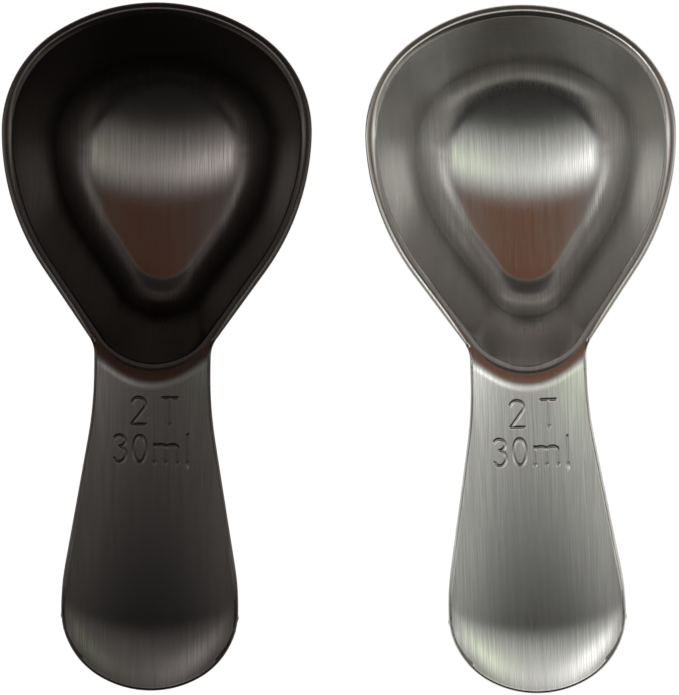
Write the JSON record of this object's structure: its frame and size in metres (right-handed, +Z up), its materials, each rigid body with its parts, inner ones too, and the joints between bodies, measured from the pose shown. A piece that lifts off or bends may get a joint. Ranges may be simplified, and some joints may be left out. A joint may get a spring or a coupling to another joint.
{
  "type": "coffee scoop",
  "caption": "Pressed metal coffee scoops in black and brushed finishes, each with a deep pear-shaped bowl, a narrow flat rim and a flared handle dished into a thumb rest.",
  "frame": {"origin": "middle of the pair's box, on the surface that both scoops stand on", "axes": "+Z up, +Y from the handles to the bowls' front edges, +X from the black scoop to the steel one"},
  "size_m": [0.1044, 0.1071, 0.025],
  "materials": {
    "black_steel": "satin black over a grain brushed along the scoop",
    "brushed_steel": "satin, brushed along the scoop"
  },
  "bodies": {
    "steel_scoop": {"steel_scoop": "brushed_steel"},
    "black_scoop": {"black_scoop": "black_steel"}
  },
  "joints": [
    {"name": "black_scoop_lift", "type": "slide", "parent": "steel_scoop", "child": "black_scoop", "axis": [0, 0, 1], "range_m": [0, 0.12]}
  ]
}
